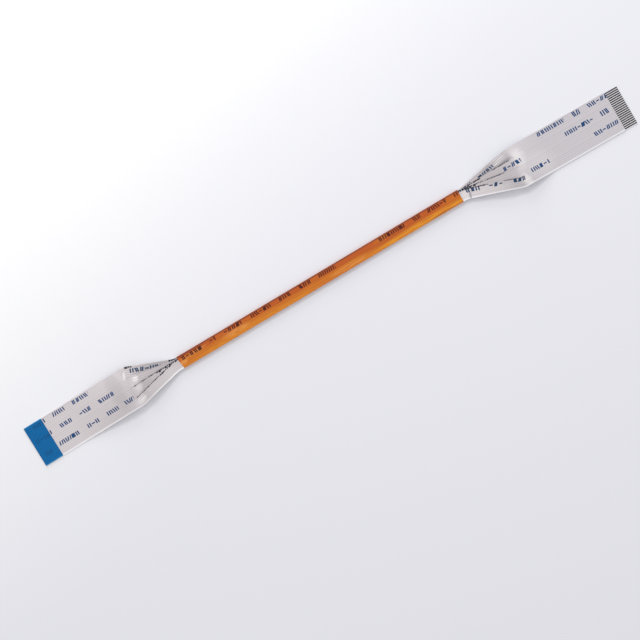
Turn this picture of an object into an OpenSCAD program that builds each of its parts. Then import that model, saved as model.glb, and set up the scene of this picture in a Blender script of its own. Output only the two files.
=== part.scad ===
// Flat flexible ribbon cable with a bundled middle
//
// Twenty flat copper conductors lie side by side between two white polyester films. Both ends
// are full-width tails. Between them the cable is slit lengthwise into four strips of five
// conductors. The strips run together in a fan, lie on top of each other and are wrapped in amber
// polyimide tape. Each tail ends in bare contacts with a blue stiffener on the other face:
// contacts down at the left end, contacts up at the right end.
//
// +X runs along the wrapped middle to the right end, +Z is up, and the table is at Z = 0.

/* [Conductors] */
// Distance between the centre lines of neighbouring conductors
pitch = 1; // [0.9:0.05:1.25]
// Width of a flat copper conductor
conductor_w = 0.6; // [0.5:0.05:0.75]
// Thickness of a flat copper conductor
conductor_t = 0.1; // [0.05:0.01:0.15]

/* [Film] */
// Thickness of each polyester film
film_t = 0.08; // [0.06:0.01:0.12]
// From the centre line of an outer conductor to the long edge of the film
edge_margin = 0.7; // [0.55:0.05:1]
// Width of the slit between two strips
slit_w = 0.16; // [0.1:0.02:0.2]

/* [Tails] */
// Length of the left tail, from its tip to the roots of the slits
tail_left = 53; // [45:1:120]
// Length of the right tail, from the roots of the slits to its tip
tail_right = 58.5; // [40:0.5:120]
// Length of bare conductor under the left tip
bare_left = 6; // [3:0.5:8]
// Length of bare conductor on top of the right tip
bare_right = 6.5; // [3:0.5:8]
// Length of the stiffener on the left tip
stiffener_left_len = 9.4; // [9:0.1:14]
// Length of the stiffener under the right tip
stiffener_right_len = 9.4; // [9:0.1:14]
// Thickness of a stiffener
stiffener_t = 0.13; // [0.1:0.01:0.25]

/* [Fans] */
// Length of the left fan, from the roots of the slits to the tape
fan_left = 25.5; // [22:0.5:40]
// Length of the right fan, from the tape to the roots of the slits
fan_right = 30.5; // [22:0.5:40]
// Angle at which the strips lie over each other in a fan, like shingles
shingle = 7; // [6:0.5:9]

/* [Wrapped middle] */
// Length of the wrapped middle
wrap_len = 153; // [60:1:400]
// Thickness of the polyimide tape
wrap_t = 0.05; // [0.04:0.01:0.1]
// Width of the second layer of tape on the top face, as a share of that face
lap_share = 0.45; // [0.2:0.05:0.7]
// Sideways step from each strip in the stack to the next
stagger = 0.25; // [0.15:0.05:0.3]

/* [Lay on the table] */
// Angle of the left tail to the wrapped middle
lay_left = 1; // [-3:0.5:3]
// Angle of the right tail to the wrapped middle
lay_right = -1; // [-3:0.5:3]
// Sideways offset of the left tail at the roots of its slits
offset_left = 1.7; // [-2:0.1:2]
// Sideways offset of the right tail at the roots of its slits
offset_right = -2.2; // [-3:0.1:2]
// Height of the left crest, where the tail rises before the slits
crest_left = 3.4; // [2.4:0.1:5]
// Height of the right crest
crest_right = 2.8; // [1.8:0.1:5]
// Length over which the left tail rises to its crest
rise_left = 34; // [10:1:40]
// Length over which the right tail rises to its crest
rise_right = 16; // [10:1:25]
// Angle from the middle of the arched left crest to its edge
arch_left = 14; // [0:1:26]
// Angle from the middle of the arched right crest to its edge
arch_right = 10; // [0:1:26]

/* [Hidden] */

// Space between two strips in the stack, and between the stack and the tape
layer_gap = 0.05;
wrap_gap = 0.04;
// Radius inside the corners of the tape, small enough to clear the square corners of the stack
wrap_r = 2.5 * wrap_gap;
// Share of a fan in which the strips start and stop moving together
ease_in = 0.12;
ease_out = 0.16;
// Share of a fan over which the strips lift off each other, stack up and lose the arch
lift_share = 0.12;
stack_share = 0.3;
arch_share = 0.77;
// Share of a fan at which the shingled strips begin to lie flat
level_from = 0.5;
// Length over which a slit opens to its full width
slit_root = 1;
// Shares of the rise and of a fan at which the cable's section is placed
RISE_STEPS = [0.4, 0.75];
FAN_STEPS = [0.06, 0.18, 0.36, 0.56, 0.75, 0.9];
// Keeps the arch's formula defined where the cable is flat
flat_curve = 1e-5;

STRIPS = 4;
PER_STRIP = 5;
LEFT = 0;
RIGHT = 1;

cable_t = 2 * film_t + conductor_t;
roof_h = film_t + conductor_t;
strip_pitch = PER_STRIP * pitch;
half_w = (STRIPS * PER_STRIP - 1) / 2 * pitch + edge_margin;

root = [tail_left, tail_left + fan_left + wrap_len + fan_right];
mouth = [tail_left + fan_left, tail_left + fan_left + wrap_len];
total_len = root[RIGHT] + tail_right;
lay = [lay_left, lay_right];
offset_y = [offset_left, offset_right];
crest = [crest_left, crest_right];
rise = [rise_left, rise_right];
arch = [arch_left, arch_right];
fan = [fan_left, fan_right];
seat = [0, stiffener_t];

// Strips are numbered from the +Y edge, and the last one lies on top of the stack
function strip_c(k) = ((STRIPS - 1) / 2 - k) * strip_pitch;
function strip_lo(k) = k == STRIPS - 1 ? -half_w : strip_c(k) - strip_pitch / 2;
function strip_hi(k) = k == 0 ? half_w : strip_c(k) + strip_pitch / 2;
function stack_y(k) = ((STRIPS - 1) / 2 - k) * stagger;
function stack_z(k) = wrap_t + wrap_gap + k * (cable_t + layer_gap);

function smooth(t) = let (u = min(max(t, 0), 1)) u * u * (3 - 2 * u);

// Rises from 0 to 1 at a steady rate, with a soft start and a soft stop
function steady(t, a, b) =
    let (rate = 1 / (1 - a / 2 - b / 2))
    t < a ? rate * t * t / (2 * a) :
    t > 1 - b ? 1 - rate * (1 - t) * (1 - t) / (2 * b) :
    rate * (t - a / 2);

function side(x) = x < total_len / 2 ? LEFT : RIGHT;
function into_tail(x) = side(x) == LEFT ? root[LEFT] - x : x - root[RIGHT];
function tail_y(e, x) = offset_y[e] + tan(lay[e]) * (x - root[e]);

// Where the middle of strip k is at station x: its point, curvature and roll
function run(k, x) =
    let (
        e = side(x),
        c = strip_c(k),
        risen = smooth(1 - max(into_tail(x), 0) / rise[e]),
        f = min(max(-into_tail(x) / fan[e], 0), 1),
        curve = arch[e] / half_w * risen + flat_curve,
        r = 180 / PI / curve,
        arch_y = r * sin(curve * c),
        arch_z = r * (cos(curve * c) - 1),
        flat = 1 - smooth(f / arch_share),
        g = steady(f, ease_in, ease_out),
        h = smooth(f),
        lean = smooth(f / lift_share) * (1 - smooth((f - level_from) / (1 - level_from)))
    )
    [
        [
            x - arch_y * sin(lay[e]) * (1 - g),
            (tail_y(e, x) + arch_y * cos(lay[e])) * (1 - g) + stack_y(k) * g,
            (seat[e] + crest[e] * risen) * (1 - h) + stack_z(0) * h + arch_z * flat
                + (stack_z(k) - stack_z(0)) * smooth(f / stack_share)
        ],
        curve * flat + flat_curve,
        shingle * lean - curve * c * flat
    ];

// The way strip k heads at station x, in degrees from +X
function heading(k, x) =
    into_tail(x) >= 0 ? lay[side(x)] :
    let (a = run(k, x - 0.01)[0], b = run(k, x + 0.01)[0])
    atan2(b[1] - a[1], b[0] - a[0]);

// The point of strip k at station x that lies d from its middle and w above its underside
function on_strip(k, x, d, w) =
    let (
        s = run(k, x),
        r = 180 / PI / s[1],
        psi = heading(k, x),
        u = (r + w) * sin(s[1] * d),
        v = (r + w) * cos(s[1] * d) - r,
        across = u * cos(s[2]) - v * sin(s[2]),
        up = u * sin(s[2]) + v * cos(s[2])
    )
    s[0] + [-across * sin(psi), across * cos(psi), up];

// The edges of strip k at station x, drawn back by half a slit where the slit is open
function cut(x) = slit_w / 2 * min(max(-into_tail(x) / slit_root, 0), 1);
function edge_lo(k, x) = strip_lo(k) + (k < STRIPS - 1 ? cut(x) : 0);
function edge_hi(k, x) = strip_hi(k) - (k > 0 ? cut(x) : 0);

// A strip is straight across from edge to edge, so each point lies between the two edges
function place(k, x, q, w) =
    let (
        lo = edge_lo(k, x),
        hi = edge_hi(k, x),
        share = (min(max(q, lo), hi) - lo) / (hi - lo)
    )
    on_strip(k, x, lo - strip_c(k), w) * (1 - share) + on_strip(k, x, hi - strip_c(k), w) * share;

// The stations at which the section is placed, from tip to tip
STATIONS = concat(
    [0, root[LEFT] - rise[LEFT]],
    [for (s = RISE_STEPS) root[LEFT] - rise[LEFT] * (1 - s)],
    [root[LEFT]],
    [for (s = FAN_STEPS) root[LEFT] + fan[LEFT] * s],
    mouth,
    [for (i = [len(FAN_STEPS) - 1 : -1 : 0]) root[RIGHT] - fan[RIGHT] * FAN_STEPS[i]],
    [root[RIGHT]],
    [for (i = [len(RISE_STEPS) - 1 : -1 : 0]) root[RIGHT] + rise[RIGHT] * (1 - RISE_STEPS[i])],
    [root[RIGHT] + rise[RIGHT], total_len]
);

// The same stations with a shorter left or right end
function from_station(x0) = [for (x = STATIONS) max(x, x0)];
function to_station(x1) = [for (x = STATIONS) min(x, x1)];

// Sideways middle of the whole cable, which is put on the X axis
tip_y = [for (x = STATIONS) each [place(0, x, half_w, 0)[1], place(STRIPS - 1, x, -half_w, 0)[1]]];
middle = [total_len / 2, (min(tip_y) + max(tip_y)) / 2, 0];

module on_table() translate(-middle) children();

// The centre lines of the conductors of strip k, from its +Y edge
function lines(k) = [for (i = [0 : PER_STRIP - 1]) strip_c(k) + ((PER_STRIP - 1) / 2 - i) * pitch];

// Sections across strip k as [distance across the cable, height], all starting at the +Y edge.
// A film's section goes round from its +Y edge over the underside, back over the top.
function under_section(k) = concat(
    [[strip_hi(k), film_t]],
    [for (c = lines(k)) each [[c + conductor_w / 2, film_t], [c - conductor_w / 2, film_t]]],
    [[strip_lo(k), film_t], [strip_lo(k), 0], [strip_c(k), 0], [strip_hi(k), 0]]
);

function over_section(k) = concat(
    [[strip_hi(k), film_t]],
    [for (c = lines(k)) each [
        [c + conductor_w / 2, film_t], [c + conductor_w / 2, roof_h],
        [c - conductor_w / 2, roof_h], [c - conductor_w / 2, film_t]
    ]],
    [[strip_lo(k), film_t], [strip_lo(k), cable_t], [strip_c(k), cable_t], [strip_hi(k), cable_t]]
);

function conductor_section(c) = [
    [c + conductor_w / 2, film_t], [c + conductor_w / 2, roof_h],
    [c - conductor_w / 2, roof_h], [c - conductor_w / 2, film_t]
];

// Corners of a section's ends, as triangles and four-sided faces of its points
function under_caps(n) = [[for (j = [0 : n - 1]) (j + n - 2) % n]];

function over_caps(n) = concat(
    [[n - 1, 0, 1, 2], [n - 3, n - 6, n - 5, n - 4]],
    [for (i = [0 : PER_STRIP - 2]) [4 * i + 3, 4 * i + 4, 4 * i + 5, 4 * i + 6]],
    [concat(
        [n - 2, n - 1],
        [for (i = [0 : PER_STRIP - 1]) each [4 * i + 2, 4 * i + 3]],
        [n - 3]
    )]
);

// A body with one section for each lane, swept over the stations. Lane i runs on strip first + i.
// In the tails the lanes are one sheet: they share the points on the slit lines and have no walls
// there. A section that goes round over the top first is turned.
module sweep(sections, stations, caps, turned, first = 0) {
    n = len(sections[0]);
    m = len(stations);
    lanes = len(sections);

    function in_tail(i) = into_tail(stations[i]) >= 0;
    function at(l, i, j) =
        l > 0 && in_tail(i) && j == 0 ? at(l - 1, i, n - 4) :
        l > 0 && in_tail(i) && j == n - 1 ? at(l - 1, i, n - 3) :
        (l * m + i) * n + j;
    function inner_wall(l, i, j) =
        in_tail(i) && in_tail(i + 1) && (l > 0 && j == n - 1 || l < lanes - 1 && j == n - 4);
    function faced(face, back) = back ? [for (j = [len(face) - 1 : -1 : 0]) face[j]] : face;

    points = [
        for (l = [0 : lanes - 1]) for (x = stations) for (p = sections[l])
            place(first + l, x, p[0], p[1])
    ];
    walls = [
        for (l = [0 : lanes - 1]) for (i = [0 : m - 2]) for (j = [0 : n - 1])
            if (!inner_wall(l, i, j))
                let (
                    a = at(l, i, j),
                    b = at(l, i, (j + 1) % n),
                    c = at(l, i + 1, (j + 1) % n),
                    d = at(l, i + 1, j)
                )
                each j == n - 1 ? [[a, b, d], [b, c, d]] : [[a, b, c], [a, c, d]]
    ];
    ends = [
        for (l = [0 : lanes - 1]) for (i = [0, m - 1]) for (cap = caps)
            faced([for (j = cap) at(l, i, j)], i == 0)
    ];
    polyhedron(points, [for (face = concat(walls, ends)) faced(face, turned)]);
}

// The lower film is stripped off under the left tip, and the upper one on top of the right tip
module lower_film() color([0.86, 0.86, 0.88]) on_table() {
    sections = [for (k = [0 : STRIPS - 1]) under_section(k)];
    sweep(sections, from_station(bare_left), under_caps(len(sections[0])), true);
}

module upper_film() color([0.79, 0.78, 0.8]) on_table() {
    sections = [for (k = [0 : STRIPS - 1]) over_section(k)];
    sweep(sections, to_station(total_len - bare_right), over_caps(len(sections[0])), false);
}

// Conductors are numbered from the +Y edge
module conductor(number) color([0.72, 0.7, 0.68]) on_table() {
    k = floor(number / PER_STRIP);
    sweep([conductor_section(lines(k)[number % PER_STRIP])], STATIONS, [[0, 1, 2, 3]], true, k);
}

// A stiffener is as wide as the cable and ends flush with its tip
module stiffener(e, x0, x1, z) {
    translate([x0, tail_y(e, x0), z]) rotate([0, 0, lay[e]])
        translate([min(x1, 0), -half_w, 0]) cube([abs(x1), 2 * half_w, stiffener_t]);
}

module left_stiffener() color([0.04, 0.41, 0.68]) on_table()
    stiffener(LEFT, 0, stiffener_left_len, cable_t);

module right_stiffener() color([0.04, 0.41, 0.68]) on_table()
    stiffener(RIGHT, total_len, -stiffener_right_len, 0);

// Section of the wrapped stack, with room for the strips
stack_w = (STRIPS - 1) * stagger + 2 * (half_w - strip_c(0)) + 2 * wrap_gap;
stack_h = STRIPS * cable_t + (STRIPS - 1) * layer_gap + 2 * wrap_gap;

module round_bar(grow) {
    w = stack_w + 2 * grow;
    h = stack_h + 2 * grow;
    r = wrap_r + grow;
    translate([0, -grow]) {
        translate([-w / 2 + r, 0]) square([w - 2 * r, h]);
        translate([-w / 2, r]) square([w, h - 2 * r]);
        for (y = [-w / 2 + r, w / 2 - r], z = [r, h - r]) translate([y, z]) circle(r, $fn = 48);
    }
}

module one_turn() difference() {
    round_bar(wrap_t);
    round_bar(0);
}

// One turn of tape round the stack. Its outer edge laps over the +Y part of the top face.
module polyimide_wrap() color([0.82, 0.5, 0.13]) on_table()
    translate([mouth[LEFT], 0, wrap_t]) rotate([90, 0, 90]) linear_extrude(wrap_len) {
        one_turn();
        intersection() {
            translate([0, wrap_t]) one_turn();
            translate([stack_w * (0.5 - lap_share), stack_h / 2]) square([stack_w, stack_h]);
        }
    }

upper_film();
lower_film();
left_stiffener();
right_stiffener();
polyimide_wrap();
conductor(0);  // conductor_01
conductor(1);  // conductor_02
conductor(2);  // conductor_03
conductor(3);  // conductor_04
conductor(4);  // conductor_05
conductor(5);  // conductor_06
conductor(6);  // conductor_07
conductor(7);  // conductor_08
conductor(8);  // conductor_09
conductor(9);  // conductor_10
conductor(10);  // conductor_11
conductor(11);  // conductor_12
conductor(12);  // conductor_13
conductor(13);  // conductor_14
conductor(14);  // conductor_15
conductor(15);  // conductor_16
conductor(16);  // conductor_17
conductor(17);  // conductor_18
conductor(18);  // conductor_19
conductor(19);  // conductor_20
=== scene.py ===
"""Looks of a flat flexible ribbon cable that lies on a pale table.

Lengths are in millimetres until a surface function puts its points in metres. Every film and every
flat wire follows one lay: where strip k of the cable is at station x, which way it heads, how it is
bent across and how it is rolled. Pairs among the cable's sizes are for its left and its right end.
"""
import math
import bpy
import bmesh
import numpy as np
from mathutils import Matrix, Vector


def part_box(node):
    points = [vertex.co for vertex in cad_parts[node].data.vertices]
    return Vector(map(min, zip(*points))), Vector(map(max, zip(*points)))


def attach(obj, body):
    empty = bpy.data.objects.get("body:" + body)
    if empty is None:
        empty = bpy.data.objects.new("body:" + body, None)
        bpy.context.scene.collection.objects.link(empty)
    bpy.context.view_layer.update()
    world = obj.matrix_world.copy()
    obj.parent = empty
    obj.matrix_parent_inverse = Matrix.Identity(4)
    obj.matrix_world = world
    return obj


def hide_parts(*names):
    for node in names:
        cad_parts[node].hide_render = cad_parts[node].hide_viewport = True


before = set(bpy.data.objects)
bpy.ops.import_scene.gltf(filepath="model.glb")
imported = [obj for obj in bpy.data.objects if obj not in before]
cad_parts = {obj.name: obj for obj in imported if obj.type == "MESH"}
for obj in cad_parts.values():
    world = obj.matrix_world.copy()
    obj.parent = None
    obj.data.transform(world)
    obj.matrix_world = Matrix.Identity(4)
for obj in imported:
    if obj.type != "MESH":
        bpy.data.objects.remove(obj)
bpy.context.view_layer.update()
MM = 0.001
LEFT, RIGHT = 0, 1

# Sizes of the cable, as in the part's source
PITCH = 1.0
WIRE_W = 0.6
WIRE_T = 0.1
FILM_T = 0.08
EDGE_MARGIN = 0.7
SLIT_W = 0.16
TAILS = (53.0, 58.5)
BARE = (6.0, 6.5)
PLATE_LEN = (9.4, 9.4)
PLATE_T = 0.13
FANS = (25.5, 30.5)
SHINGLE = 7.0
WRAP_LEN = 153.0
WRAP_T = 0.05
LAP_SHARE = 0.45
STAGGER = 0.25
LAY_DEG = (1.0, -1.0)
OFFSET_Y = (1.7, -2.2)
CREST = (3.4, 2.8)
RISE = (34.0, 16.0)
ARCH_DEG = (14.0, 10.0)
LAYER_GAP = 0.05
WRAP_GAP = 0.04
EASE_IN, EASE_OUT = 0.12, 0.16
LIFT_SHARE, STACK_SHARE, ARCH_SHARE, LEVEL_FROM = 0.12, 0.3, 0.77, 0.5
SLIT_ROOT = 1.0
FLAT_CURVE = 1e-5

STRIPS, PER_STRIP = 4, 5
CABLE_T = 2 * FILM_T + WIRE_T
ROOF_H = FILM_T + WIRE_T
STRIP_PITCH = PER_STRIP * PITCH
HALF_W = (STRIPS * PER_STRIP - 1) / 2 * PITCH + EDGE_MARGIN
ROOTS = (TAILS[LEFT], TAILS[LEFT] + FANS[LEFT] + WRAP_LEN + FANS[RIGHT])
MOUTHS = (TAILS[LEFT] + FANS[LEFT], TAILS[LEFT] + FANS[LEFT] + WRAP_LEN)
TOTAL_LEN = ROOTS[RIGHT] + TAILS[RIGHT]
SEATS = (0.0, PLATE_T)
STACK_W = (STRIPS - 1) * STAGGER + 2 * (HALF_W - (STRIPS - 1) / 2 * STRIP_PITCH) + 2 * WRAP_GAP
STACK_H = STRIPS * CABLE_T + (STRIPS - 1) * LAYER_GAP + 2 * WRAP_GAP
TOP_STRIP_Y = -(STRIPS - 1) / 2 * STAGGER

# The left tip and the bundle's centre line, seen from the middle of the cable's box
WRAP_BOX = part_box("polyimide_wrap")
MIDDLE = np.array([TOTAL_LEN / 2, -(WRAP_BOX[0].y + WRAP_BOX[1].y) / 2 / MM, 0])

# Distance between stations in flat tails, rises, fans and the middle, and the least distance
FLAT_STEP, RISE_STEP, FAN_STEP, MIDDLE_STEP, LEAST_STEP = 2.0, 0.5, 0.3, 6.0, 0.05
# Half the stretch over which a heading is measured
HEADING_STEP = 0.01

# Low forms of the film by the crests: a ridge with dips at its flanks, and slanted waves, each with its
# share, its length, its turn per mm across and its phase
RIDGE_RISE, RIDGE_AT, RIDGE_SPAN, FLANK_DIP = 0.09, 1.6, 2.2, 1.6
WAVE_RISE, WAVE_BEFORE, WAVE_AFTER = 0.025, 8.0, 14.0
WAVES = ((1.0, 4.3, 0.5, 0.0), (0.7, 2.7, -0.9, 1.0))

# Fine forms: dip of the film between two wires, bevel of a wire and the point of its ring where its
# lower edge starts, corners, and the angle past which an edge stays sharp
FILM_DIP = 0.03
WIRE_BEVEL = 0.012
WIRE_FOOT = 4
TAPE_CORNER, TAPE_ARC_POINTS = 0.1, 9
PLATE_CORNER, PLATE_ARC_POINTS = 0.35, 7
PLATE_BEVEL = 0.025
SHARP_DEG = 25

# The tape: stations along it, points of its top on each side of the lap's edge, half width of that
# edge, and depth of the dips between wires
TAPE_STEPS = 260
TOP_POINTS = 40
LAP_EDGE = 0.02
TAPE_RIPPLE = 0.02
# Sines along the tape, each with its height, its length over 2 pi and its phase
TAPE_SWELL = 0.012
SWELL_SINES = ((1.0, 6.3, 0.0), (1.0, 2.9, 2.0))
LAP_SINES = ((0.10, 9.1, 0.0), (0.06, 3.7, 1.0), (0.03, 1.3, 0.0))
LAP_STEP, LAP_STEP_AT, LAP_STEP_LEN = 0.25, 179.5, 1.2
MOUTH_SLANT, MOUTH_FADE = 0.8, 6.0

# The photograph's frame: width, lens, and the place of its middle and the turn of the cable in it
PHOTO_WIDTH = 300.0
LENS = 85.0
SENSOR = 36.0
BUNDLE_DEG = 30.8
CENTRE_X, CENTRE_Y = -14.95, -15.5
# In metres
TABLE_SIZE = 6.0

# Generic marks, one a cell. In shares of the cell: lean and half width from least to most, and width
# of a bar. In shares of the run's height: half height of a whole mark and of a dash. The seed makes the
# runs differ
MARK_CELL = 2.2
MARK_SEED = 1.7
MARK_LEAN = (-0.3, 0.3)
MARK_HALF_W = (0.3, 0.42)
BAR_W = 0.28
MARK_HALF_H = (0.5, 0.14)
# Shares of the marks that aren't parted into bars, and that are only a dash
BLOCK_SHARE, DASH_SHARE = 0.28, 0.14
# Marks that a slit went through, with painted shade in the gaps between strips: cell, filled share of it,
# and depth in shares of the line's width
CUT_CELL = 1.1
CUT_FILLED = (0.7, 1.0)
CUT_DEPTH = (0.6, 1.1)

# Runs of generic marks: start and end from the left tip, place across and height
TAIL_MARKS = [
    (9.6, 10.8, 8.5, 2.0), (14.8, 21.2, 8.5, 2.0), (25.4, 34.7, 8.5, 2.0),
    (9.6, 10.4, 2.2, 2.0), (15.1, 21.8, 2.2, 2.0), (25.7, 32.3, 2.2, 2.0), (36.5, 45.5, 2.2, 2.0),
    (10.6, 21.8, -4.7, 2.0), (26.1, 32.9, -4.7, 2.0), (37.1, 43.4, -4.7, 2.0), (47.1, 52.1, -4.7, 2.0),
    (276.5, 291.2, 8.5, 2.0), (295.6, 299.6, 8.5, 2.6), (304.0, 314.0, 8.5, 2.0),
    (254.4, 264.0, 2.2, 2.0), (288.2, 303.2, 2.2, 2.0), (307.5, 311.6, 2.2, 2.6),
    (265.9, 275.8, -4.7, 2.0), (300.1, 313.1, -4.7, 2.0),
]
FAN_MARKS = [
    (56.5, 70.1, 8.0, 2.0), (234.2, 240.8, -6.2, 1.9), (244.6, 251.5, -6.1, 1.9),
    (255.4, 261.7, -6.0, 1.9), (243.0, 251.6, 8.1, 1.5), (232.8, 239.0, 8.9, 1.3),
]
# Marks of the tail that show faintly through the plate on it
PLATE_MARKS = [(4.0, 9.4, 8.0, 2.05), (1.6, 9.4, 1.6, 2.05), (2.4, 6.0, -5.3, 2.05)]
TAPE_MARKS = [
    (80.27, 91.6, 1.2, 1.9), (95.5, 99.0, 1.66, 1.9), (103.4, 113.1, 1.66, 1.8),
    (118.1, 128.9, 1.66, 1.8), (133.3, 140.1, 1.66, 1.8), (144.4, 151.0, 1.66, 1.8),
    (155.0, 164.3, 1.66, 1.8), (187.8, 202.0, 1.66, 1.8), (206.5, 210.4, 1.66, 2.0),
    (214.2, 224.4, 1.66, 1.8), (228.8, 231.4, 1.66, 1.8),
]
# Cut marks along the slits and the edge, partly print and partly painted shade of the gaps and
# overlapping edges: start, end, edge across and width
SLIT_PRINT_AND_SHADE = [
    (55.0, 66.6, 0.0, 0.45), (66.6, 78.6, 0.0, 1.1), (53.5, 68.0, -5.0, 0.5), (68.0, 78.6, -5.0, 0.7),
    (54.8, 57.8, 10.2, 1.1), (73.6, 77.8, 10.2, 1.2), (231.0, 240.0, 0.0, 1.0), (240.0, 254.0, 0.0, 0.5),
    (231.0, 244.6, -5.0, 0.6), (251.5, 262.0, -5.0, 0.4),
    (231.0, 243.5, 5.0, 0.9), (250.0, 259.0, 5.0, 0.5),
]


def srgb(*levels):
    """Linear colour of 8-bit levels."""
    c = np.array(levels) / 255
    return (*np.where(c < 0.04045, c / 12.92, ((c + 0.055) / 1.055) ** 2.4), 1.0)


# Blur of a wire's edge as it shows through film or tape
WIRE_BLUR = 0.06
# Clouds and streaks of each finish: scale per mm, and how far they are drawn out along the cable
FILM_CLOUD, FILM_STREAKS = (0.5, 6.0), (3.0, 30.0)
TAPE_CLOUD, TAPE_STREAKS = (0.35, 8.0), (2.5, 12.0)
PLATE_CLOUD = (0.6, 2.0)
WIRE_STREAKS = (4.0, 20.0)
CLOUD_DETAIL = 3.0
# Roughness pairs go from least to most, and bump pairs are the strength and the height

# White film: plain and over a wire, its cloudy shade, and its -Y edge drawn lighter, partly its bare
# margin and partly painted light, from and to the edge
FILM_GAP = srgb(205, 197, 199)
FILM_OVER_WIRE = srgb(187, 179, 181)
FILM_PLAIN = srgb(238, 236, 240)
FILM_SHADE = srgb(180, 174, 177)
CLOUD_SHARE = 0.25
FILM_LIT_EDGE = srgb(240, 238, 241)
LIT_EDGE_FROM, LIT_EDGE_TO = 0.8, 0.5
FILM_ROUGH = (0.3, 0.42)
FILM_BUMP = (0.25, 0.01)
BLUE_INK = srgb(16, 62, 112)
# Dark ink, also used as painted shade along the slits and the +Y edge
DARK_INK_AND_SHADE = srgb(18, 26, 46)
FAN_INK = srgb(30, 62, 96)
# Painted light, painted shade and a cooler painted shade for the film's patches
PAINTED_LIGHT = srgb(226, 220, 222)
PAINTED_SHADE = srgb(150, 147, 152)
PAINTED_COOL_SHADE = srgb(196, 196, 204)
# Painted light and shade on the film: lighter crests and left tail, darker valleys and slopes, and a
# cooler, darker right tail. Middle along and across, half length and width, slant, share, tone
PAINTED_LIGHT_AND_SHADE = [
    (10.0, 0.0, 60.0, 40.0, 0.0, 0.35, PAINTED_LIGHT), (300.0, 0.0, 60.0, 40.0, 0.0, 0.4, PAINTED_COOL_SHADE),
    (53.4, 6.2, 0.9, 2.4, 0.35, 1.0, PAINTED_LIGHT), (56.2, 0.6, 3.0, 8.0, 0.1, 0.45, PAINTED_LIGHT),
    (54.2, -7.8, 4.5, 3.0, 0.4, 0.45, PAINTED_LIGHT), (64.0, -8.2, 22.0, 3.4, 0.0, 0.3, PAINTED_LIGHT),
    (46.5, 2.0, 5.0, 12.0, 0.0, 0.25, PAINTED_SHADE), (70.0, 8.0, 14.0, 3.2, 0.0, 0.4, PAINTED_SHADE),
    (74.0, 2.5, 9.0, 3.0, 0.0, 0.35, PAINTED_SHADE), (60.0, -1.5, 5.0, 2.5, 0.0, 0.2, PAINTED_SHADE),
    (244.0, -7.9, 14.0, 3.4, 0.0, 0.5, PAINTED_LIGHT), (233.6, -8.2, 2.6, 4.0, 0.0, 0.6, PAINTED_LIGHT),
    (236.0, -8.6, 0.8, 3.0, 0.0, 0.8, PAINTED_SHADE), (252.0, 7.6, 9.5, 3.4, 0.0, 0.55, PAINTED_SHADE),
    (256.8, 5.6, 5.0, 1.2, 0.0, 0.8, PAINTED_SHADE), (262.4, -7.4, 2.2, 5.0, -0.2, 0.6, PAINTED_LIGHT),
    (263.0, 3.0, 3.4, 8.0, 0.0, 0.35, PAINTED_LIGHT), (268.0, -4.0, 14.0, 9.0, 0.0, 0.25, PAINTED_LIGHT),
]
# Streaks of light on the wires' ridges: middle along and across, half length and width, slant, share
GLINTS = [
    (57.2, 3.0, 1.9, 1.8, 0.2, 1.0), (57.0, -1.6, 2.3, 2.6, 0.2, 0.6),
    (55.2, -7.2, 3.0, 2.4, 0.4, 1.0), (262.6, -7.6, 3.0, 3.4, -0.2, 0.8),
    (264.5, 4.0, 4.0, 5.0, 0.0, 0.4), (254.0, 8.2, 6.0, 2.2, 0.0, 0.6),
]
GLINT = srgb(250, 247, 246)
GLINT_SPAN = (0.36, 0.56)

# Amber tape: single and lapped, between and over the wires, deeper in clouds, and with painted shade at
# its rim
TAPE_GAP = srgb(208, 122, 31)
TAPE_OVER_WIRE = srgb(190, 103, 27)
LAP_GAP = srgb(194, 95, 28)
LAP_OVER_WIRE = srgb(178, 81, 25)
TAPE_DEEP = srgb(180, 84, 27)
DEEP_SPAN, DEEP_SHARE = (0.35, 0.75), 0.5
TAPE_RIM_SHADE = srgb(134, 60, 36)
TAPE_RIM_SHADE_FROM, TAPE_RIM_SHADE_TO, TAPE_RIM_SHADE_SHARE = 1.1, 0.4, 0.9
TAPE_INK = srgb(72, 16, 4)
TAPE_INK_SHARE = 0.97
TAPE_PALE = srgb(222, 147, 72)
TAPE_YELLOW = srgb(217, 141, 33)
# Height above which the tape lies double, and how far from the middle wires show through it
LAP_LEVEL = WRAP_T + STACK_H + 1.5 * WRAP_T
TAPE_WIRES_REACH = 2.9
TAPE_ROUGH = (0.2, 0.35)
TAPE_BUMP = (0.35, 0.03)
# Patches on the tape, in the same order as the film's, mottled where its streaks pass the span: pale,
# yellow and deep ones lighten or darken it, and the rim-coloured ones are painted shade along its edges
TAPE_PATCHES = [
    (109.0, -0.2, 9.0, 2.0, 0.0, 1.0, TAPE_PALE), (87.0, 0.9, 9.0, 1.3, 0.0, 0.6, TAPE_PALE),
    (80.6, -0.6, 2.8, 1.9, 0.3, 0.9, TAPE_PALE), (207.0, -2.2, 36.0, 1.8, 0.0, 1.0, TAPE_YELLOW),
    (224.0, -2.3, 12.0, 1.2, 0.0, 1.0, TAPE_YELLOW), (118.0, -2.4, 52.0, 1.5, 0.0, 0.6, TAPE_YELLOW),
    (170.0, -1.5, 12.0, 1.5, 0.0, 0.7, TAPE_PALE), (190.0, 0.0, 16.0, 1.6, 0.0, 0.8, TAPE_DEEP),
    (140.0, 1.6, 60.0, 2.4, 0.0, 0.5, TAPE_DEEP), (84.0, 2.9, 16.0, 1.2, 0.0, 1.0, TAPE_RIM_SHADE),
    (222.0, 1.6, 14.0, 1.8, 0.0, 0.6, TAPE_DEEP), (222.0, -2.7, 18.0, 0.26, 0.0, 1.0, TAPE_RIM_SHADE),
]
MOTTLE_SPAN = (0.3, 0.6)

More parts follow.
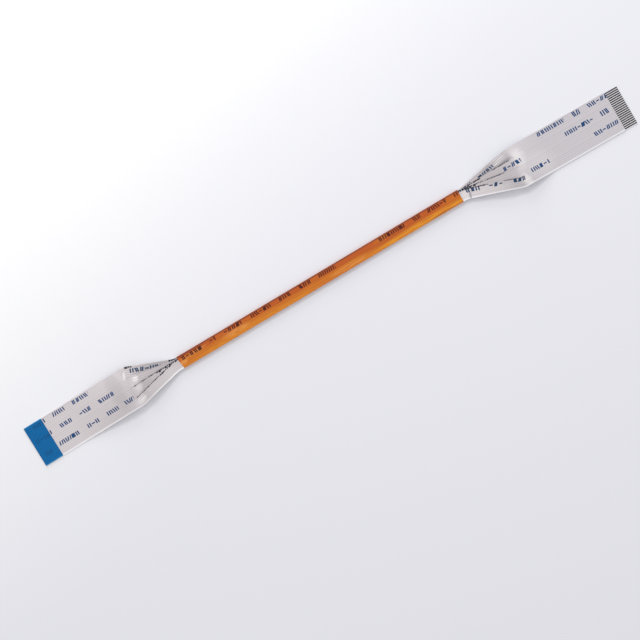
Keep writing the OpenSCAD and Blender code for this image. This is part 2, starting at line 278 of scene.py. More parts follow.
# Blue plates: between and over the wires behind them, lighter in clouds and at their rim
PLATE_BLUE = srgb(0, 101, 163)
PLATE_DARK = srgb(0, 87, 145)
PLATE_LIGHT = srgb(4, 110, 168)
PLATE_LIGHT_SHARE = 0.3
PLATE_INK_SHARE = 0.35
PLATE_RIM = srgb(70, 160, 206)
PLATE_RIM_FROM, PLATE_RIM_TO, PLATE_RIM_SHARE = 0.7, 0.1, 0.5
PLATE_ROUGH = (0.3, 0.45)
PLATE_BUMP = (0.3, 0.02)

# Tinned wires, painted dark: a painted dark reflection in place of the tin's silvery tone
WIRE_DARK = (0.04, 0.038, 0.042, 1)
WIRE_LIGHT = (0.1, 0.096, 0.104, 1)
WIRE_ROUGH = (0.28, 0.48)

# Table and light. The table's tone goes from far to near over the span, in metres along the fade
TABLE_NEAR = (0.98, 0.98, 0.98, 1)
TABLE_FAR = srgb(227, 227, 233)
TABLE_FADE = (-0.36, 1.0)
TABLE_SPAN = (-0.02, 0.22)
ROOM_LIGHT = (0.752, 0.752, 0.757, 1)
ROOM_SEEN = srgb(236, 236, 240)
LAMP_COLOUR = (1.0, 1.0, 0.99)
# Place in the photograph's frame in metres, size, watts, and whether glossy surfaces mirror it
LAMPS = [
    ("key", (-0.22, 0.89, 0.68), 0.38, 4.6, True),
    ("low", (-0.3, 0.96, 0.2), 0.4, 6.0, False),
]


def smooth(t):
    """0 below 0, 1 above 1, and three t squared less two t cubed between."""
    u = np.clip(t, 0, 1)
    return u * u * (3 - 2 * u)


def steady(t, a, b):
    """From 0 to 1 at an even rate, with a parabola over the first share a and the last share b."""
    rate = 1 / (1 - a / 2 - b / 2)
    start = rate * t * t / (2 * a)
    stop = 1 - rate * (1 - t) ** 2 / (2 * b)
    return np.where(t < a, start, np.where(t > 1 - b, stop, rate * (t - a / 2)))


def sines(x, rows):
    """Sum of sines of x, each with its height, its length over 2 pi and its phase."""
    return sum(height * np.sin(x / length + phase) for height, length, phase in rows)


def by_end(values, x):
    """The left or the right value of a pair, by the half of the cable that x is in."""
    return np.where(x < TOTAL_LEN / 2, values[LEFT], values[RIGHT])


def into_tail(x):
    """Distance from the roots of the slits towards the tip, negative in the fan and the middle."""
    return np.where(x < TOTAL_LEN / 2, ROOTS[LEFT] - x, x - ROOTS[RIGHT])


def strip_middle(k):
    """Place of strip k across the cable: strip 0 is at the +Y edge."""
    return ((STRIPS - 1) / 2 - k) * STRIP_PITCH


def strip_edges(k):
    """Lower and upper limit of strip k across the cable."""
    lo = -HALF_W if k == STRIPS - 1 else strip_middle(k) - STRIP_PITCH / 2
    hi = HALF_W if k == 0 else strip_middle(k) + STRIP_PITCH / 2
    return lo, hi


def stack_z(k):
    """Height of strip k's underside in the stack: one layer and one gap more for each strip below."""
    return WRAP_T + WRAP_GAP + k * (CABLE_T + LAYER_GAP)


def lay(k, x):
    """Point, curvature across and roll of strip k's middle at x: the arched tail sinks and straightens
    while the strip moves sideways, leans on its neighbour and settles at its height in the stack."""
    c = strip_middle(k)
    slope = np.radians(by_end(LAY_DEG, x))
    fan = by_end(FANS, x)
    crest = by_end(CREST, x)
    risen = smooth(1 - np.maximum(into_tail(x), 0) / by_end(RISE, x))
    f = np.clip(-into_tail(x) / fan, 0, 1)
    curve = by_end(ARCH_DEG, x) / HALF_W * risen + FLAT_CURVE
    radius = 180 / math.pi / curve
    arch_y = radius * np.sin(np.radians(curve * c))
    arch_z = radius * (np.cos(np.radians(curve * c)) - 1)
    flat = 1 - smooth(f / ARCH_SHARE)
    g, h = steady(f, EASE_IN, EASE_OUT), smooth(f)
    lean = smooth(f / LIFT_SHARE) * (1 - smooth((f - LEVEL_FROM) / (1 - LEVEL_FROM)))
    tail_y = by_end(OFFSET_Y, x) + np.tan(slope) * (x - by_end(ROOTS, x))
    point = np.stack([
        x - arch_y * np.sin(slope) * (1 - g),
        (tail_y + arch_y * np.cos(slope)) * (1 - g) + ((STRIPS - 1) / 2 - k) * STAGGER * g,
        (by_end(SEATS, x) + crest * risen) * (1 - h) + stack_z(0) * h + arch_z * flat
        + (stack_z(k) - stack_z(0)) * smooth(f / STACK_SHARE),
    ], -1)
    return point, curve * flat + FLAT_CURVE, SHINGLE * lean - curve * c * flat


def waves(x, q):
    """Small uneven height of the film round the roots of the slits: a low ridge along the crest, whose
    flanks dip, and slanted waves that fade out along the fan and towards the tip."""
    past = -into_tail(x)
    near = np.exp(-((past - RIDGE_AT) / RIDGE_SPAN) ** 2)
    ridge = near * (1 - FLANK_DIP * ((past - RIDGE_AT) / RIDGE_SPAN) ** 2)
    fade = smooth((past + WAVE_BEFORE) / WAVE_BEFORE) * smooth((WAVE_AFTER - past) / WAVE_AFTER)
    slanted = sum(
        share * np.sin(2 * math.pi * x / length + turn * q + phase)
        for share, length, turn, phase in WAVES
    )
    return RIDGE_RISE * ridge + WAVE_RISE * fade * slanted


def surface(k, x, q, w):
    """Points of strip k at stations x, at distance q across the cable and height w in its thickness:
    a circle arc across the strip, rolled and turned to its heading, and drawn back at an open slit."""
    x = np.asarray(x, float)[:, None]
    lo, hi = strip_edges(k)
    cut = SLIT_W / 2 * np.clip(-into_tail(x) / SLIT_ROOT, 0, 1)
    q = np.clip(q, lo + (cut if k < STRIPS - 1 else 0), hi - (cut if k > 0 else 0))
    d = q - strip_middle(k)
    w = w + waves(x, q)
    point, curve, roll = lay(k, x)
    ahead, behind = lay(k, x + HEADING_STEP)[0], lay(k, x - HEADING_STEP)[0]
    turned = np.arctan2(ahead[..., 1] - behind[..., 1], ahead[..., 0] - behind[..., 0])
    heading = np.where(into_tail(x) >= 0, np.radians(by_end(LAY_DEG, x)), turned)
    radius, roll = 180 / math.pi / curve, np.radians(roll)
    u = (radius + w) * np.sin(np.radians(curve * d))
    v = (radius + w) * np.cos(np.radians(curve * d)) - radius
    across, up = u * np.cos(roll) - v * np.sin(roll), u * np.sin(roll) + v * np.cos(roll)
    offset = np.stack([-across * np.sin(heading), across * np.cos(heading), up], -1)
    return (point + offset - MIDDLE) * MM


def stations(start, stop):
    """Stations from start to stop: far apart in the flat stretches and close in rises and fans."""
    parts = [
        np.arange(0, TAILS[LEFT] - RISE[LEFT], FLAT_STEP),
        np.arange(TAILS[LEFT] - RISE[LEFT], ROOTS[LEFT], RISE_STEP),
        np.arange(ROOTS[LEFT], MOUTHS[LEFT], FAN_STEP),
        np.arange(MOUTHS[LEFT], MOUTHS[RIGHT], MIDDLE_STEP),
        np.arange(MOUTHS[RIGHT], ROOTS[RIGHT], FAN_STEP),
        np.arange(ROOTS[RIGHT], ROOTS[RIGHT] + RISE[RIGHT], RISE_STEP),
        np.arange(ROOTS[RIGHT] + RISE[RIGHT], TOTAL_LEN, FLAT_STEP),
        [TOTAL_LEN],
    ]
    x = np.concatenate(parts)
    inside = x[(x > start + LEAST_STEP) & (x < stop - LEAST_STEP)]
    return np.concatenate([[start], inside, [stop]])


def wire_middles(k):
    """Places across the cable of strip k's wires, a pitch apart, from its upper edge down."""
    return strip_middle(k) + ((PER_STRIP - 1) / 2 - np.arange(PER_STRIP)) * PITCH


def new_object(name, points, faces, material, lay_values):
    """A closed mesh with its normals outwards, smooth but for sharp edges. Its lay attribute holds each
    point's place along, across and in the thickness, for the material."""
    mesh = bpy.data.meshes.new(name)
    mesh.from_pydata(points.reshape(-1, 3).tolist(), [], faces)
    bm = bmesh.new()
    bm.from_mesh(mesh)
    bmesh.ops.recalc_face_normals(bm, faces=bm.faces)
    bm.to_mesh(mesh)
    bm.free()
    attribute = mesh.attributes.new("lay", "FLOAT_VECTOR", "POINT")
    attribute.data.foreach_set("vector", lay_values.astype(np.float32).ravel())
    mesh.shade_smooth()
    mesh.set_sharp_from_angle(angle=math.radians(SHARP_DEG))
    mesh.materials.append(material)
    piece = bpy.data.objects.new(name, mesh)
    bpy.context.scene.collection.objects.link(piece)
    return piece


def swept(name, first, rings, foot, x, material):
    """Rings of (across, height) points swept along neighbouring strips over stations x. A ring starts
    with its upper edge's low and high point and has its lower edge's high and low point at foot and
    foot + 1. In the tails the strips are one sheet, so they share the points on a slit's line and have
    no walls there."""
    m, n, lanes = len(x), len(rings[0]), len(rings)
    points = np.stack([surface(first + i, x, ring[:, 0], ring[:, 1]) for i, ring in enumerate(rings)])
    values = np.zeros_like(points)
    for i, ring in enumerate(rings):
        values[i, :, :, 0] = x[:, None]
        values[i, :, :, 1:] = ring
    index = np.arange(lanes * m * n).reshape(lanes, m, n)
    tail = into_tail(x) >= 0
    for i in range(1, lanes):
        index[i, tail, 0] = index[i - 1, tail, foot + 1]
        index[i, tail, 1] = index[i - 1, tail, foot]
    after = np.roll(index, -1, axis=2)
    quads = np.stack([index[:, :-1], after[:, :-1], after[:, 1:], index[:, 1:]], -1)
    keep = np.ones(quads.shape[:3], bool)
    joined = tail[:-1] & tail[1:]
    keep[1:, joined, 0] = False
    keep[:-1, joined, foot] = False
    walls, ends = quads[keep], index[:, [0, m - 1]].reshape(-1, n)
    used = np.unique(np.concatenate([walls.ravel(), ends.ravel()]))
    renumber = np.zeros(index.size, int)
    renumber[used] = np.arange(len(used))
    faces = renumber[walls].tolist() + renumber[ends].tolist()
    return new_object(
        name, points.reshape(-1, 3)[used], faces, material, values.reshape(-1, 3)[used]
    )


def ridged(k, level, dip):
    """Points from a strip's upper to its lower edge: level over each wire, lower by dip between two."""
    lo, hi = strip_edges(k)
    rows = [(hi, level)]
    for c in wire_middles(k):
        rows += [(c + WIRE_W / 2, level), (c - WIRE_W / 2, level), (c - PITCH / 2, level - dip)]
    return rows[:-1] + [(lo, level)]


def top_film_ring(k):
    """Ridged on top, with a channel for each wire in its underside."""
    lo, hi = strip_edges(k)
    top = ridged(k, CABLE_T, FILM_DIP)
    channels = []
    for c in wire_middles(k)[::-1]:
        channels += [(c - WIRE_W / 2, FILM_T), (c - WIRE_W / 2, ROOF_H)]
        channels += [(c + WIRE_W / 2, ROOF_H), (c + WIRE_W / 2, FILM_T)]
    return np.array([(hi, FILM_T), *top, (lo, FILM_T), *channels]), len(top)


def base_film_ring(k):
    """Flat on top, where the wires lie, and ridged below."""
    lo, hi = strip_edges(k)
    under = [(q, -w) for q, w in ridged(k, 0, FILM_DIP)][::-1]
    seats = [(q, FILM_T) for c in wire_middles(k) for q in (c + WIRE_W / 2, c - WIRE_W / 2)]
    top = [(hi, FILM_T), *seats, (lo, FILM_T)]
    return np.array([(hi, 0), *top, *under[:-1]]), len(top)


def wire_ring(c):
    """A flat wire with small bevels along its four edges."""
    a, b = WIRE_W / 2, WIRE_BEVEL
    return np.array([
        (c + a, FILM_T + b), (c + a, ROOF_H - b), (c + a - b, ROOF_H), (c - a + b, ROOF_H),
        (c - a, ROOF_H - b), (c - a, FILM_T + b), (c - a + b, FILM_T), (c + a - b, FILM_T),
    ])


def arc_points(y, z, r, start, count=TAPE_ARC_POINTS):
    """A quarter turn about (y, z) from the start angle in degrees."""
    a = np.radians(np.linspace(start, start + 90, count))
    return np.stack([y + r * np.cos(a), z + r * np.sin(a)], -1)


def tape_loop(grow, lap, edge, ripple):
    """Loop round the stack, from the middle of its underside towards +Y: a rounded box, grown outwards,
    whose top is raised by lap on the +Y side of edge and dips by ripple between the wires."""
    a, r = STACK_W / 2 + grow, TAPE_CORNER + grow
    z0, z1 = WRAP_T - grow, WRAP_T + STACK_H + grow
    right = np.linspace(a - r, edge + LAP_EDGE, TOP_POINTS)[1:]
    left = np.linspace(edge - LAP_EDGE, -a + r, TOP_POINTS)[:-1]
    dips = [ripple * (0.5 + 0.5 * np.cos(2 * math.pi * (y - TOP_STRIP_Y))) for y in (right, left)]
    return np.concatenate([
        [(0, z0)], arc_points(a - r, z0 + r, r, -90), arc_points(a - r, z1 - r + lap, r, 0),
        np.stack([right, z1 + lap - dips[0]], -1), np.stack([left, z1 - dips[1]], -1),
        arc_points(-a + r, z1 - r, r, 90), arc_points(-a + r, z0 + r, r, 180),
    ])


def tape_wrap(material):
    """The tape's outer and inner loop carried straight along the bundle and joined at both mouths. The
    edge of the lap wanders by sines and steps once, and a slow swell keeps the top from being a true
    plane. The left mouth is drawn in towards -Y."""
    x = np.linspace(MOUTHS[LEFT], MOUTHS[RIGHT], TAPE_STEPS)
    wander = sines(x, LAP_SINES) - LAP_STEP * smooth((x - LAP_STEP_AT) / LAP_STEP_LEN)
    edge = STACK_W * (0.5 - LAP_SHARE) + wander
    outer = np.stack([tape_loop(WRAP_T, WRAP_T, e, TAPE_RIPPLE) for e in edge])
    inner = np.stack([tape_loop(0, 0, e, 0) for e in edge])
    swell = TAPE_SWELL * sines(x, SWELL_SINES)[:, None]
    outer[:, :, 1] += swell * (outer[:, :, 1] > STACK_H / 2)
    m, n = len(x), outer.shape[1]
    loops = np.stack([outer, inner])
    points = np.empty((2, m, n, 3))
    fade = 1 - smooth((x - MOUTHS[LEFT]) / MOUTH_FADE)
    slant = MOUTH_SLANT * (0.5 - loops[..., 0] / STACK_W) * fade[:, None]
    points[..., 0] = x[:, None] + slant - MIDDLE[0]
    points[..., 1] = loops[..., 0] - MIDDLE[1]
    points[..., 2] = loops[..., 1]
    index = np.arange(2 * m * n).reshape(2, m, n)
    after = np.roll(index, -1, axis=2)
    walls = np.stack([index[:, :-1], after[:, :-1], after[:, 1:], index[:, 1:]], -1).reshape(-1, 4)
    mouths = [np.stack([index[0, e], after[0, e], after[1, e], index[1, e]], -1) for e in (0, -1)]
    faces = np.concatenate([walls, *mouths]).tolist()
    values = points.copy()
    values[..., 0] += MIDDLE[0]
    values[..., 1] = loops[..., 0]
    return new_object("tape_wrap", points * MM, faces, material, values)


def end_plate(name, end, z, material):
    """Stiffener as a plate with rounded corners: its outline at four heights, drawn in at the lowest
    and the highest for a bevel, laid along the tail and flush with its tip."""
    length, r, b = PLATE_LEN[end], PLATE_CORNER, PLATE_BEVEL
    corners = [
        (length - r, HALF_W - r, 0), (r, HALF_W - r, 90),
        (r, r - HALF_W, 180), (length - r, r - HALF_W, 270),
    ]
    outline = np.concatenate([arc_points(u, v, r, a, PLATE_ARC_POINTS) for u, v, a in corners])
    centre = np.array([length / 2, 0])
    drawn = centre + (outline - centre) * (1 - b / np.array([length / 2, HALF_W]))
    rings = np.stack([np.column_stack([o, np.full(len(o), h)]) for o, h in
                      ((drawn, 0), (outline, b), (outline, PLATE_T - b), (drawn, PLATE_T))])
    angle = math.radians(LAY_DEG[end])
    tip = 0.0 if end == LEFT else TOTAL_LEN
    along = rings[..., 0] if end == LEFT else -rings[..., 0]
    tip_y = OFFSET_Y[end] + math.tan(angle) * (tip - ROOTS[end])
    points = np.stack([
        tip + along * math.cos(angle) - rings[..., 1] * math.sin(angle),
        tip_y + along * math.sin(angle) + rings[..., 1] * math.cos(angle),
        z + rings[..., 2],
    ], -1)
    n = len(outline)
    index = np.arange(4 * n).reshape(4, n)
    after = np.roll(index, -1, axis=1)
    walls = np.stack([index[:-1], after[:-1], after[1:], index[1:]], -1).reshape(-1, 4).tolist()
    values = np.stack([along, rings[..., 1], rings[..., 2]], -1)
    faces = walls + [index[0].tolist(), index[3].tolist()]
    return new_object(name, (points - MIDDLE) * MM, faces, material, values)


class Graph:
    """Adds nodes to a tree and links them: a value that is a socket is linked, a number is set."""

    def __init__(self, tree):
        self.tree = tree

    def put(self, socket, value):
        """Links or sets one socket."""
        if isinstance(value, bpy.types.NodeSocket):
            self.tree.links.new(value, socket)
        else:
            socket.default_value = value

    def node(self, kind, inputs=(), **settings):
        """A node with its settings and its inputs."""
        node = self.tree.nodes.new(kind)
        for name, value in settings.items():
            setattr(node, name, value)
        for key, value in dict(inputs).items():
            self.put(node.inputs[key], value)
        return node

    def math(self, operation, *values):
        """The result of one operation."""
        return self.node("ShaderNodeMath", dict(enumerate(values)), operation=operation).outputs[0]

    def fold(self, operation, values):
        """One operation over several values in turn."""
        result = values[0]
        for value in values[1:]:
            result = self.math(operation, result, value)
        return result

    def product(self, *values):
        """Several masks multiplied."""
        return self.fold("MULTIPLY", values)

    def most(self, values):
        """The highest of several masks."""
        return self.fold("MAXIMUM", values)

    def blend(self, share, a, b):
        """Colour a, or b where share is 1."""
        node = self.node("ShaderNodeMix", {"Factor": share, "A": a, "B": b}, data_type="RGBA")
        return node.outputs["Result"]

    def tint(self, colour, mask, share, tone):
        """The colour drawn towards a tone, by a share of a mask."""
        return self.blend(self.math("MULTIPLY", mask, share), colour, tone)

    def ramp(self, value, low, high):
        """0 at low and 1 at high, and smooth between them."""
        inputs = {"Value": value, "From Min": low, "From Max": high}
        return self.node("ShaderNodeMapRange", inputs, interpolation_type="SMOOTHSTEP").outputs[0]

    def spread(self, value, at_zero, at_one):
        """A straight line through two values: where the value is 0 and where it is 1."""
        return self.math("MULTIPLY_ADD", value, at_one - at_zero, at_zero)

    def window(self, value, low, high):
        """1 between low and high."""
        return self.product(self.math("GREATER_THAN", value, low), self.math("LESS_THAN", value, high))


def new_group(name, inputs, output):
    """A shader node group of numbers in and one number out: its tree, its graph and its sockets."""
    tree = bpy.data.node_groups.new(name, "ShaderNodeTree")
    for key in inputs:
        tree.interface.new_socket(name=key, in_out="INPUT", socket_type="NodeSocketFloat")
    tree.interface.new_socket(name=output, in_out="OUTPUT", socket_type="NodeSocketFloat")
    given, out = tree.nodes.new("NodeGroupInput"), tree.nodes.new("NodeGroupOutput")
    return tree, Graph(tree), given.outputs, out.inputs


def wires_below():
    """How much of a flat wire lies under a point: 1 over a wire, 0 between two and in the margins."""
    tree, g, given, out = new_group("wires_below", ("Across", "Reach"), "Wire")
    off = g.math("ABSOLUTE", g.math("SUBTRACT", g.math("FRACT", given["Across"]), 0.5))
    wire = g.math("SUBTRACT", 1.0, g.ramp(off, WIRE_W / 2 - WIRE_BLUR, WIRE_W / 2 + WIRE_BLUR))
    inside = g.math("LESS_THAN", g.math("ABSOLUTE", given["Across"]), given["Reach"])
    g.put(out["Wire"], g.product(wire, inside))
    return tree


def printed_run():
    """A run of generic marks, one a cell: leaning blocks, most of them parted into two bars, and some
    of the others only a dash."""
    inputs = ("Along", "Across", "Start", "End", "Middle", "Height")
    tree, g, given, out = new_group("printed_run", inputs, "Mask")
    along, start, middle = given["Along"], given["Start"], given["Middle"]
    cells = g.math("DIVIDE", g.math("SUBTRACT", along, start), MARK_CELL)
    number = g.math("ADD", g.math("FLOOR", cells), middle)
    seed = g.math("ADD", g.math("MULTIPLY", start, MARK_SEED), number)
    noise = g.node("ShaderNodeTexWhiteNoise", {"W": seed}, noise_dimensions="1D")
    dice = g.node("ShaderNodeSeparateColor", {"Color": noise.outputs["Color"]}).outputs
    rise = g.math("DIVIDE", g.math("SUBTRACT", given["Across"], middle), given["Height"])
    lean = g.product(rise, g.spread(dice["Green"], *MARK_LEAN))
    centred = g.math("SUBTRACT", g.math("FRACT", cells), 0.5)
    off = g.math("ABSOLUTE", g.math("SUBTRACT", centred, lean))
    half = g.spread(dice["Red"], *MARK_HALF_W)
    parted = g.math("GREATER_THAN", dice["Blue"], BLOCK_SHARE)
    gap = g.product(parted, g.math("LESS_THAN", off, g.math("SUBTRACT", half, BAR_W)))
    shape = g.math("SUBTRACT", g.math("LESS_THAN", off, half), gap)
    reach = g.spread(g.math("LESS_THAN", dice["Blue"], DASH_SHARE), *MARK_HALF_H)
    tall = g.math("LESS_THAN", g.math("ABSOLUTE", rise), reach)
    g.put(out["Mask"], g.product(shape, tall, g.window(along, start, given["End"])))
    return tree


def slit_print_and_shade():
    """Broken dark line along a cut edge: partly what is left of marks that the slit went through, partly
    painted shade in the gap between strips.
    """
    inputs = ("Along", "Across", "Start", "End", "Edge", "Width")
    tree, g, given, out = new_group("slit_print_and_shade", inputs, "Mask")
    along, across, edge = given["Along"], given["Across"], given["Edge"]
    cells = g.math("MULTIPLY", along, 1 / CUT_CELL)
    number = g.math("ADD", g.math("FLOOR", cells), edge)
    noise = g.node("ShaderNodeTexWhiteNoise", {"W": number}, noise_dimensions="1D").outputs["Value"]
    filled = g.math("LESS_THAN", g.math("FRACT", cells), g.spread(noise, *CUT_FILLED))
    depth = g.product(given["Width"], g.spread(noise, *CUT_DEPTH))
    near = g.math("LESS_THAN", g.math("SUBTRACT", edge, across), depth)
    below = g.math("LESS_THAN", across, edge)
    inside = g.window(along, given["Start"], given["End"])
    g.put(out["Mask"], g.product(near, below, inside, filled))
    return tree


def soft_patch():
    """A slanted round patch that fades out from its middle: slant is the shift along per mm across."""
    inputs = ("Along", "Across", "MidX", "MidY", "HalfX", "HalfY", "Slant")
    tree, g, given, out = new_group("soft_patch", inputs, "Mask")
    across = g.math("SUBTRACT", given["Across"], given["MidY"])
    along = g.math("SUBTRACT", given["Along"], given["MidX"])
    along = g.math("SUBTRACT", along, g.product(across, given["Slant"]))
    x = g.math("DIVIDE", along, given["HalfX"])
    y = g.math("DIVIDE", across, given["HalfY"])
    reach = g.math("ADD", g.product(x, x), g.product(y, y))
    g.put(out["Mask"], g.math("SUBTRACT", 1.0, g.ramp(reach, 0.0, 1.0)))
    return tree


def slow_cloud():
    """Soft uneven tone in film and tape, drawn out along the cable, from 0 to 1."""
    inputs = ("Along", "Across", "Height", "Scale", "Stretch")
    tree, g, given, out = new_group("slow_cloud", inputs, "Tone")
    drawn = g.math("DIVIDE", given["Along"], given["Stretch"])
    axes = {"X": drawn, "Y": given["Across"], "Z": given["Height"]}
    place = g.node("ShaderNodeCombineXYZ", axes).outputs[0]
    noise = {"Vector": place, "Scale": given["Scale"], "Detail": CLOUD_DETAIL}
    g.put(out["Tone"], g.node("ShaderNodeTexNoise", noise).outputs["Fac"])
    return tree


def new_material(name, **settings):
    """A material and its shader's inputs, after setting those that are the same all over."""
    material = bpy.data.materials.new(name)
    material.use_nodes = True
    inputs = material.node_tree.nodes["Principled BSDF"].inputs
    for key, value in settings.items():
        inputs[key.replace("_", " ")].default_value = value
    return material, inputs


class Finish(Graph):
    """The graph of one material, with the lay of the point: along, across and height."""

    def __init__(self, name, **settings):
        self.material, self.inputs = new_material(name, **settings)
        super().__init__(self.material.node_tree)
        place = self.node("ShaderNodeAttribute", attribute_name="lay").outputs["Vector"]
        parts = self.node("ShaderNodeSeparateXYZ", {"Vector": place}).outputs
        self.along, self.across, self.height = parts["X"], parts["Y"], parts["Z"]

    def use(self, key, output, **inputs):
        """One output of a group with these inputs."""
        return self.node("ShaderNodeGroup", inputs, node_tree=GROUPS[key]).outputs[output]

    def here(self, key, output, **inputs):
        """One output of a group that needs to know where the point is."""
        return self.use(key, output, Along=self.along, Across=self.across, **inputs)

    def wires(self, across, reach):
        """Where flat wires lie below."""
        return self.use("wires", "Wire", Across=across, Reach=reach)

    def cloud(self, scale, stretch):
        """A soft uneven tone."""
        return self.here("cloud", "Tone", Height=self.height, Scale=scale, Stretch=stretch)

    def patch(self, x, q, half_x, half_q, slant):
        """A soft patch about a point along and across."""
        return self.here("patch", "Mask", MidX=x, MidY=q, HalfX=half_x, HalfY=half_q, Slant=slant)

    def marks(self, rows):
        """The marks of several runs."""
        runs = [self.here("run", "Mask", Start=a, End=b, Middle=q, Height=h) for a, b, q, h in rows]
        return self.most(runs)

    def cuts(self, rows):
        """The cut marks of several lines: print and painted shade."""
        lines = [self.here("cut", "Mask", Start=a, End=b, Edge=q, Width=w) for a, b, q, w in rows]
        return self.most(lines)

    def done(self, colour, uneven, rough, relief=None, bump=None):
        """The material. An uneven tone spreads its roughness from least to most, and a relief is laid on
        it with the strength and the height in mm of bump."""
        self.put(self.inputs["Base Color"], colour)
        self.put(self.inputs["Roughness"], self.spread(uneven, *rough))
        if bump:
            inputs = {"Height": relief, "Strength": bump[0], "Distance": bump[1] * MM}
            self.put(self.inputs["Normal"], self.node("ShaderNodeBump", inputs).outputs["Normal"])
        return self.material


def film_material(name, printed):
    """White polyester over copper: cloudy, with a lighter -Y edge that is partly its bare margin and
    partly painted light, and on the upper film a little darker over each wire, with painted light and
    shade about the crests, painted highlights on the wires' ridges, printed marks and cut lines that are
    partly painted shade."""
    film = Finish(name, Specular_IOR_Level=0.35)
    streaks = film.cloud(*FILM_STREAKS)
    colour = FILM_PLAIN
    if printed:
        wire = film.wires(film.across, HALF_W - EDGE_MARGIN + WIRE_W / 2)
        colour = film.blend(wire, FILM_GAP, FILM_OVER_WIRE)
    colour = film.tint(colour, film.cloud(*FILM_CLOUD), CLOUD_SHARE, FILM_SHADE)
    # Painted light: only the -Y edge is drawn lighter, partly its bare margin
    lit_edge = film.ramp(film.math("MULTIPLY", film.across, -1.0), HALF_W - LIT_EDGE_FROM, HALF_W - LIT_EDGE_TO)
    colour = film.blend(lit_edge, colour, FILM_LIT_EDGE)
    if printed:
        # Painted light and shade: lighter crests and left tail, darker valleys and slopes, cooler right
        # tail
        for *place, share, tone in PAINTED_LIGHT_AND_SHADE:
            colour = film.tint(colour, film.patch(*place), share, tone)
        for *place, share in GLINTS:
            lit = film.product(film.patch(*place), wire, film.ramp(streaks, *GLINT_SPAN))
            colour = film.tint(colour, lit, share, GLINT)
        top = film.math("GREATER_THAN", film.height, (ROOF_H + CABLE_T) / 2)
        colour = film.tint(colour, film.marks(TAIL_MARKS), top, BLUE_INK)
        colour = film.tint(colour, film.marks(FAN_MARKS), top, FAN_INK)
        # Painted shade along the slits and the +Y edge, mixed with cut print
        colour = film.tint(colour, film.cuts(SLIT_PRINT_AND_SHADE), top, DARK_INK_AND_SHADE)
    return film.done(colour, streaks, FILM_ROUGH, streaks, FILM_BUMP)


def tape_material():
    """Amber tape over white film and wires: yellower where single, redder where it laps, lined by the
    wires under it, with the marks of the film below showing through as dark ones, and painted shade along
    its rims."""
    tape = Finish("amber_tape", Specular_IOR_Level=0.22, Coat_Weight=0.16, Coat_Roughness=0.12)
    wire = tape.wires(tape.math("ADD", tape.across, PITCH / 2 - TOP_STRIP_Y), TAPE_WIRES_REACH)
    streaks = tape.cloud(*TAPE_STREAKS)
    single = tape.blend(wire, TAPE_GAP, TAPE_OVER_WIRE)
    lapped = tape.blend(wire, LAP_GAP, LAP_OVER_WIRE)
    colour = tape.blend(tape.math("GREATER_THAN", tape.height, LAP_LEVEL), single, lapped)
    colour = tape.tint(colour, tape.ramp(tape.cloud(*TAPE_CLOUD), *DEEP_SPAN), DEEP_SHARE, TAPE_DEEP)
    for *place, share, tone in TAPE_PATCHES:
        mottled = tape.product(tape.patch(*place), tape.ramp(streaks, *MOTTLE_SPAN))
        colour = tape.tint(colour, mottled, share, tone)
    # Painted shade along the tape's +Y rim
    rim = tape.ramp(tape.across, STACK_W / 2 - TAPE_RIM_SHADE_FROM, STACK_W / 2 - TAPE_RIM_SHADE_TO)
    colour = tape.tint(colour, rim, TAPE_RIM_SHADE_SHARE, TAPE_RIM_SHADE)
    colour = tape.tint(colour, tape.marks(TAPE_MARKS), TAPE_INK_SHARE, TAPE_INK)
    return tape.done(colour, streaks, TAPE_ROUGH, streaks, TAPE_BUMP)


def plate_material():
    """Blue polyester with faint lines and marks from what is behind it."""
    plate = Finish("blue_plate", Specular_IOR_Level=0.2)
    wire = plate.wires(plate.across, HALF_W)
    cloud = plate.cloud(*PLATE_CLOUD)
    colour = plate.blend(wire, PLATE_BLUE, PLATE_DARK)
    colour = plate.tint(colour, cloud, PLATE_LIGHT_SHARE, PLATE_LIGHT)
    colour = plate.tint(colour, plate.marks(PLATE_MARKS), PLATE_INK_SHARE, DARK_INK_AND_SHADE)
    off = plate.math("ABSOLUTE", plate.across)
    rim = plate.ramp(off, HALF_W - PLATE_RIM_FROM, HALF_W - PLATE_RIM_TO)
    colour = plate.tint(colour, rim, PLATE_RIM_SHARE, PLATE_RIM)
    return plate.done(colour, cloud, PLATE_ROUGH, wire, PLATE_BUMP)


def wire_material():
    """Tinned copper, a little streaked along its length, painted dark as a painted reflection in place of
    its silvery tone.
    """
    tin = Finish("tinned_wire", Metallic=1.0)
    streaks = tin.cloud(*WIRE_STREAKS)
    return tin.done(tin.blend(streaks, WIRE_DARK, WIRE_LIGHT), streaks, WIRE_ROUGH)


def table_material():
    """Pale table top, white towards the light and a cool pale grey away from it."""
    material, inputs = new_material("pale_table", Roughness=0.55, Specular_IOR_Level=0.2)
    g = Graph(material.node_tree)
    place = g.node("ShaderNodeTexCoord").outputs["Object"]
    parts = g.node("ShaderNodeSeparateXYZ", {"Vector": place}).outputs
    fades = [g.math("MULTIPLY", parts[axis], rate) for axis, rate in zip("XY", TABLE_FADE)]
    away = g.math("ADD", *fades)
    g.put(inputs["Base Color"], g.blend(g.ramp(away, *TABLE_SPAN), TABLE_FAR, TABLE_NEAR))
    return material


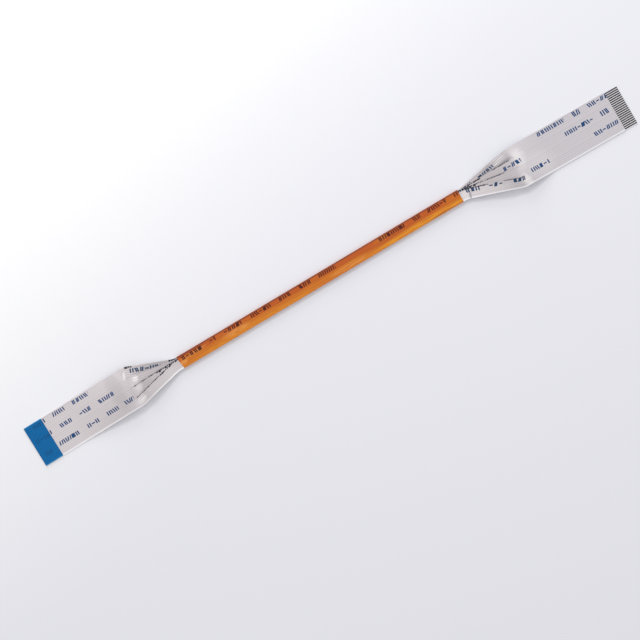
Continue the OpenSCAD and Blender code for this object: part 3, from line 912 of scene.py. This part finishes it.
def add_stage():
    """Table, camera straight above in the photograph's frame, soft light from the upper left."""
    bpy.ops.mesh.primitive_plane_add(size=TABLE_SIZE)
    table = bpy.context.object
    table.name = "table_top"
    table.data.materials.append(table_material())
    turn = math.radians(-BUNDLE_DEG)
    camera = bpy.data.objects.new("camera", bpy.data.cameras.new("camera"))
    bpy.context.scene.collection.objects.link(camera)
    camera.data.lens = LENS
    camera.data.sensor_width = SENSOR
    camera.location = (CENTRE_X * MM, CENTRE_Y * MM, PHOTO_WIDTH * LENS / SENSOR * MM)
    camera.rotation_euler = (0, 0, turn)
    bpy.context.scene.camera = camera
    for name, spot, size, watts, mirrored in LAMPS:
        lamp = bpy.data.lights.new(name, "AREA")
        lamp.shape = "DISK"
        lamp.size = size
        lamp.energy = watts
        lamp.color = LAMP_COLOUR
        holder = bpy.data.objects.new(name, lamp)
        bpy.context.scene.collection.objects.link(holder)
        holder.visible_glossy = mirrored
        right, up, height = spot
        holder.location = (
            right * math.cos(turn) - up * math.sin(turn),
            right * math.sin(turn) + up * math.cos(turn),
            height,
        )
        holder.rotation_euler = (-holder.location).to_track_quat("-Z", "Y").to_euler()
    world = bpy.data.worlds.new("soft_room")
    world.use_nodes = True
    bpy.context.scene.world = world
    g = Graph(world.node_tree)
    back = world.node_tree.nodes["Background"]
    seen = g.node("ShaderNodeLightPath").outputs["Is Camera Ray"]
    g.put(back.inputs["Color"], g.blend(seen, ROOM_LIGHT, ROOM_SEEN))
    back.inputs["Strength"].default_value = 1.0
    bpy.context.scene.view_settings.view_transform = "Standard"


# Effects that repeat in a material or in several
GROUPS = {
    "wires": wires_below(), "run": printed_run(), "cut": slit_print_and_shade(), "cloud": slow_cloud(),
    "patch": soft_patch(),
}

add_stage()
ink_film = film_material("printed_film", True)
plain_film = film_material("plain_film", False)
tape = tape_material()
plate = plate_material()
tin = wire_material()

top_end = TOTAL_LEN - BARE[RIGHT]
rings, foot = zip(*[top_film_ring(k) for k in range(STRIPS)])
top_film = swept("top_film", 0, rings, foot[0], stations(0, top_end), ink_film)
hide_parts("upper_film")

rings, foot = zip(*[base_film_ring(k) for k in range(STRIPS)])
base_film = swept("base_film", 0, rings, foot[0], stations(BARE[LEFT], TOTAL_LEN), plain_film)
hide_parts("lower_film")

wires = []
for number in range(STRIPS * PER_STRIP):
    k = number // PER_STRIP
    ring = wire_ring(wire_middles(k)[number % PER_STRIP])
    wire = swept(f"flat_wire_{number + 1:02d}", k, [ring], WIRE_FOOT, stations(0, TOTAL_LEN), tin)
    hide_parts(f"conductor_{number + 1:02d}")
    wires.append(wire)

wrap = tape_wrap(tape)
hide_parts("polyimide_wrap")

left_plate = end_plate("left_plate", LEFT, CABLE_T, plate)
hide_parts("left_stiffener")
right_plate = end_plate("right_plate", RIGHT, 0.0, plate)
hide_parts("right_stiffener")

for piece in (top_film, base_film, wrap, left_plate, right_plate, *wires):
    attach(piece, "root")
